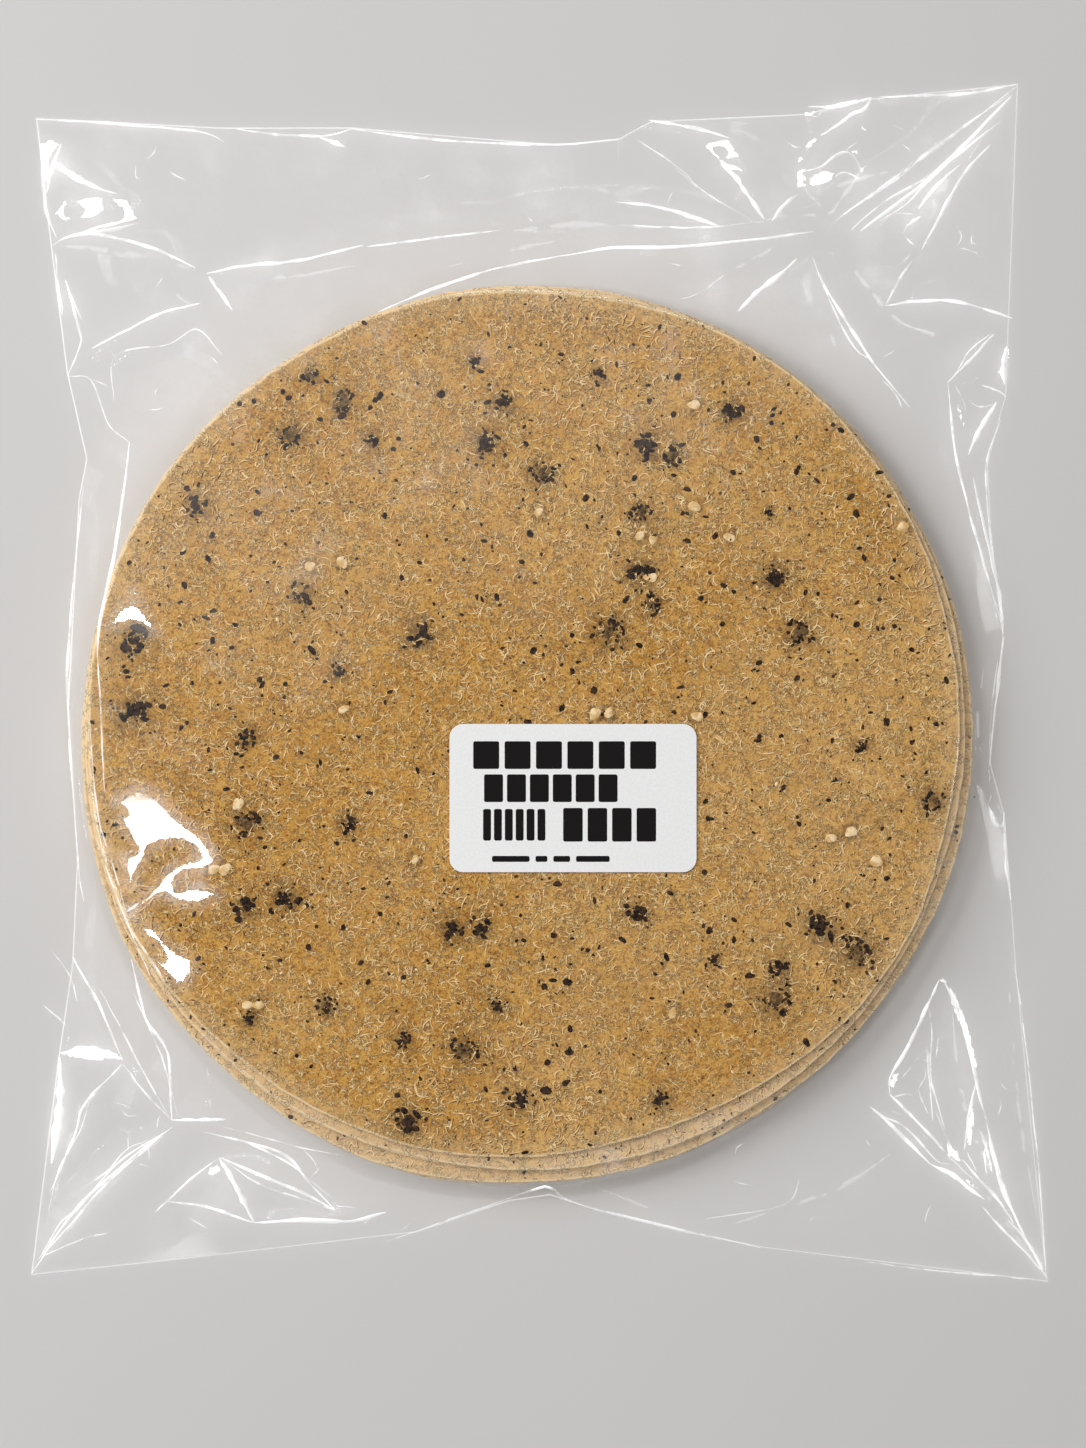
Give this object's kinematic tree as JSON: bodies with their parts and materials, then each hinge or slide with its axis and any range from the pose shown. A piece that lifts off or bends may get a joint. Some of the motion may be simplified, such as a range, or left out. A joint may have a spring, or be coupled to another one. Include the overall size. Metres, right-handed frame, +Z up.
{
  "type": "bag of black pepper papadums",
  "caption": "Clear flat bag lying on its back, holding a pile of thin round uncooked flatbreads with cracked black pepper, and a paper label stuck on its front.",
  "frame": {"origin": "on the table under the middle of the bag's outline", "axes": "+Z up out of the pack's front, +Y towards the bag's top edge, +X towards its right edge"},
  "size_m": [0.2086, 0.2458, 0.01],
  "materials": {
    "bag": "clear film over warm tan flatbreads, as one solid",
    "film": "clear, glossy and crinkled",
    "papad": "dry, matt, speckled with pale fibres and ochre blotches",
    "pepper": "cracked and matt",
    "kernel": "smooth cream seed",
    "label": "white coated paper",
    "print": "black print as plain bars"
  },
  "bodies": {
    "root": {"bag": "bag", "label": "label"}
  },
  "joints": []
}
